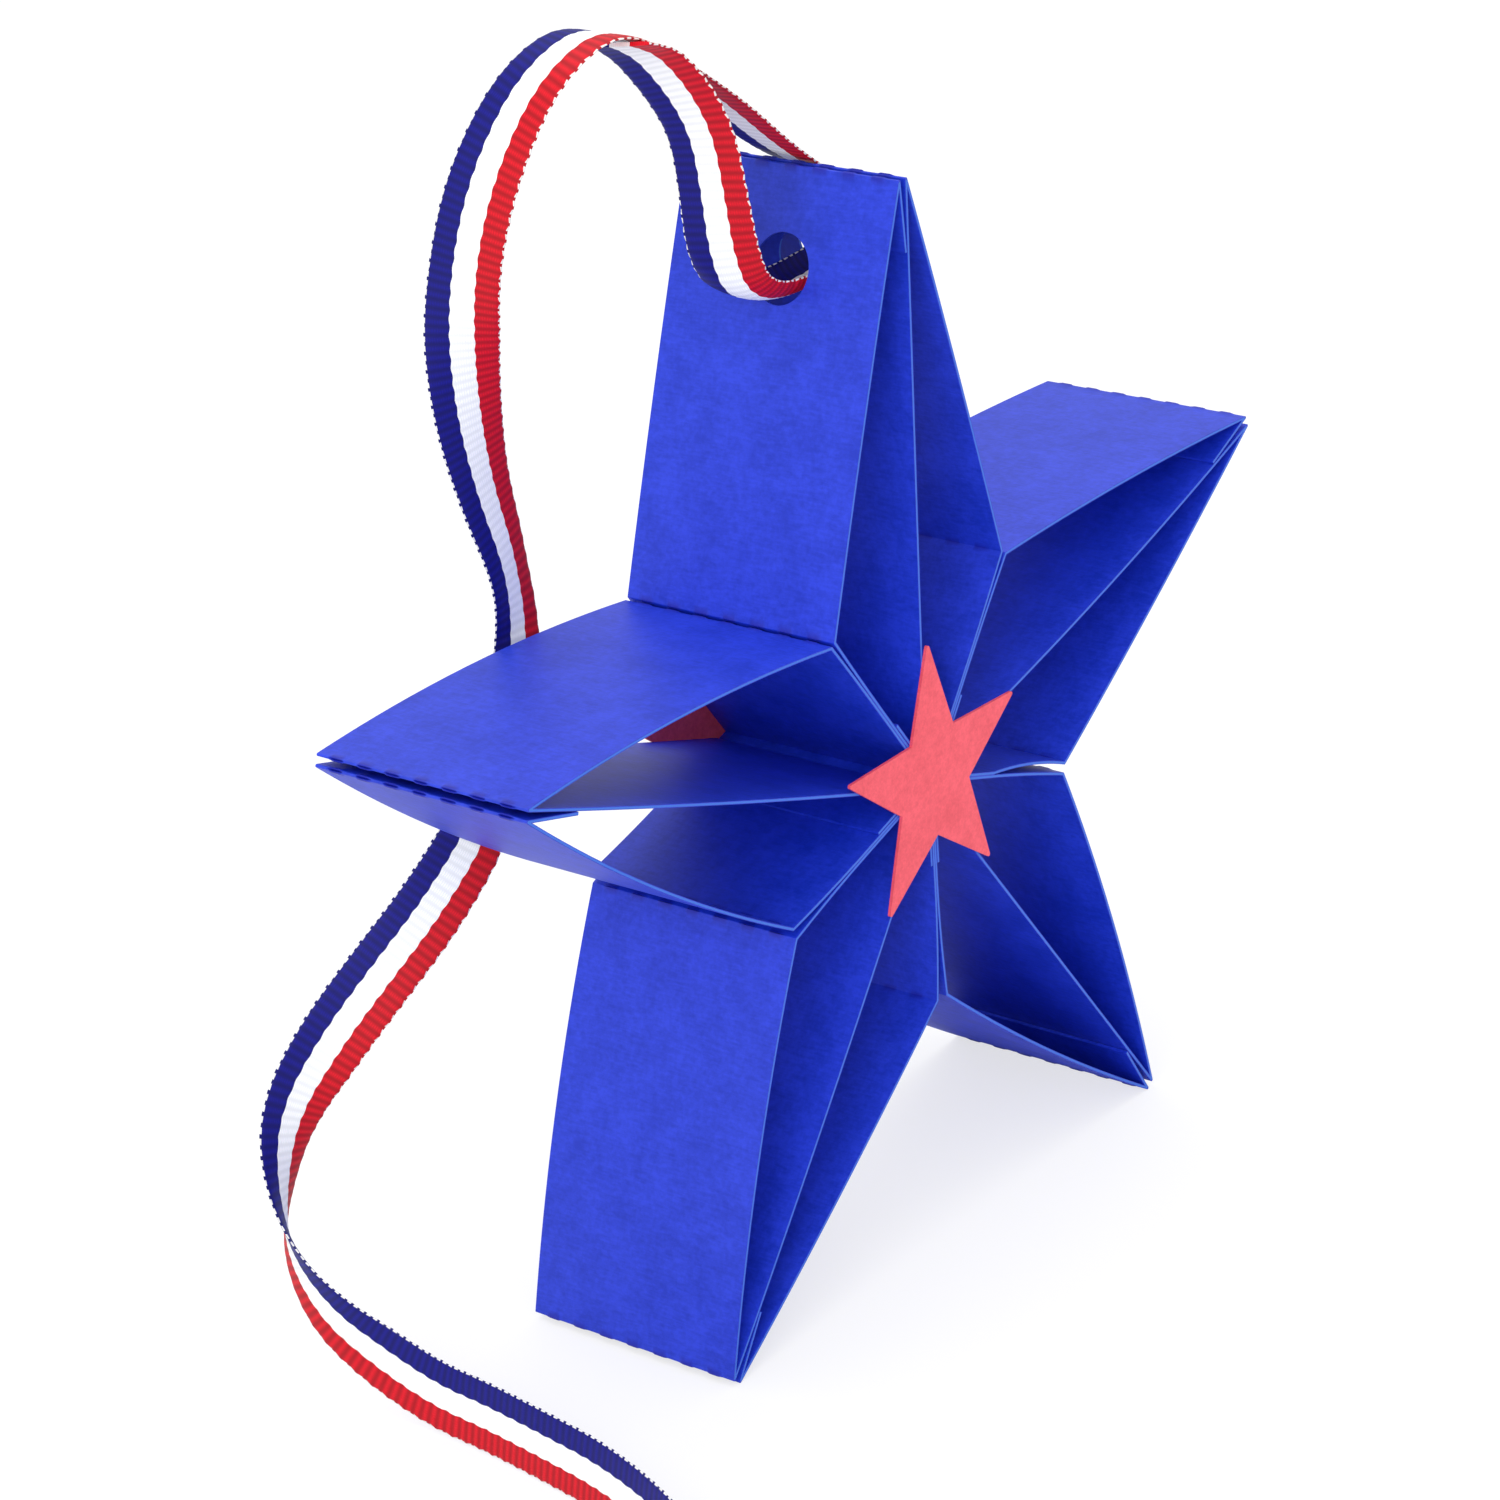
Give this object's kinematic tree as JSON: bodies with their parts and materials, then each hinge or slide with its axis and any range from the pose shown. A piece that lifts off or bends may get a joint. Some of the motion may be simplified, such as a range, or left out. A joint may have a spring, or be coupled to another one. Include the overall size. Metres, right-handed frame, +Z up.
{
  "type": "paper star ornament",
  "caption": "Open five-armed star of folded card strips with a small card star on each face and a striped ribbon loop through its top arm.",
  "frame": {"origin": "on the floor under the middle of the star, which stands on its two lower tips; the ribbon isn't counted", "axes": "+Z up through the top arm, +Y from the front face to the back face, +X to the right as seen from the front"},
  "size_m": [0.1255, 0.0681, 0.1183],
  "materials": {
    "blue_card": "coloured card, matt with a fine fibre",
    "red_card": "coloured card, matt with a fine fibre",
    "ribbon_cloth": "woven ribbed ribbon in three stripes"
  },
  "bodies": {
    "root": {"arm_top": "blue_card", "arm_upper_left": "blue_card", "arm_lower_left": "blue_card", "arm_lower_right": "blue_card", "arm_upper_right": "blue_card", "front_star": "red_card", "back_star": "red_card", "ribbon": "ribbon_cloth"}
  },
  "joints": []
}
